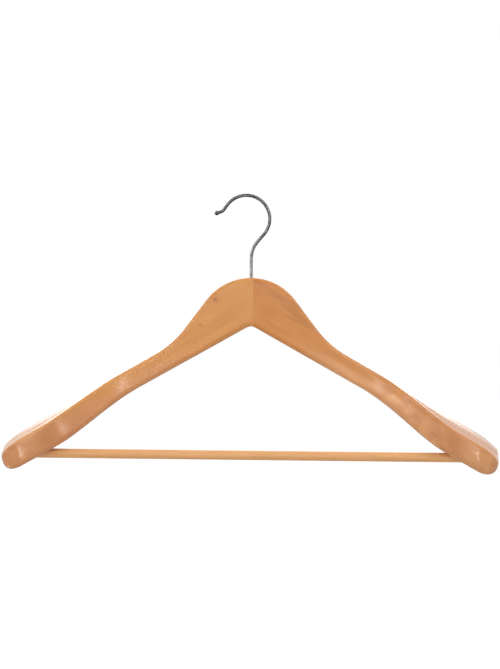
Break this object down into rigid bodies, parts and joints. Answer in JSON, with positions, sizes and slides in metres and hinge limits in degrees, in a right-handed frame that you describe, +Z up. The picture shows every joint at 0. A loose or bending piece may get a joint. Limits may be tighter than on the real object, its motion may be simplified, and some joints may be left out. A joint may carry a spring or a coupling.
{
  "type": "jacket hanger",
  "caption": "Contoured wooden jacket hanger with broad forward-swept shoulder ends, a round trouser bar and a swivelling bright steel wire hook with a ball tip",
  "frame": {"origin": "the lowest point of the inside of the hook's crown, where the hook sits on a rail", "axes": "+X along the shoulders, towards the side that the hook's back is on; +Y to the hanger's back, so that the shoulder ends sweep forward to -Y; +Z up"},
  "size_m": [0.445, 0.0593, 0.2505],
  "materials": {
    "shoulder_wood": "clear satin lacquer over an orange-brown fine-grained hardwood",
    "bar_wood": "clear satin lacquer over a slightly paler dowel",
    "hook_steel": "bright plated round wire",
    "zinc_plate": "dull zinc plate"
  },
  "bodies": {
    "hook_body": {"hook": "hook_steel", "hook_washer": "zinc_plate", "hook_nut": "zinc_plate"},
    "hanger_body": {"left_shoulder": "shoulder_wood", "right_shoulder": "shoulder_wood", "trouser_bar": "bar_wood", "bar_nail_left": "zinc_plate", "bar_nail_right": "zinc_plate"}
  },
  "joints": [
    {"name": "hook_swivel", "type": "hinge", "parent": "hook_body", "child": "hanger_body", "pos_m": [0.0049, 0, -0.0739], "axis": [0, 0, 1], "continuous": true}
  ]
}
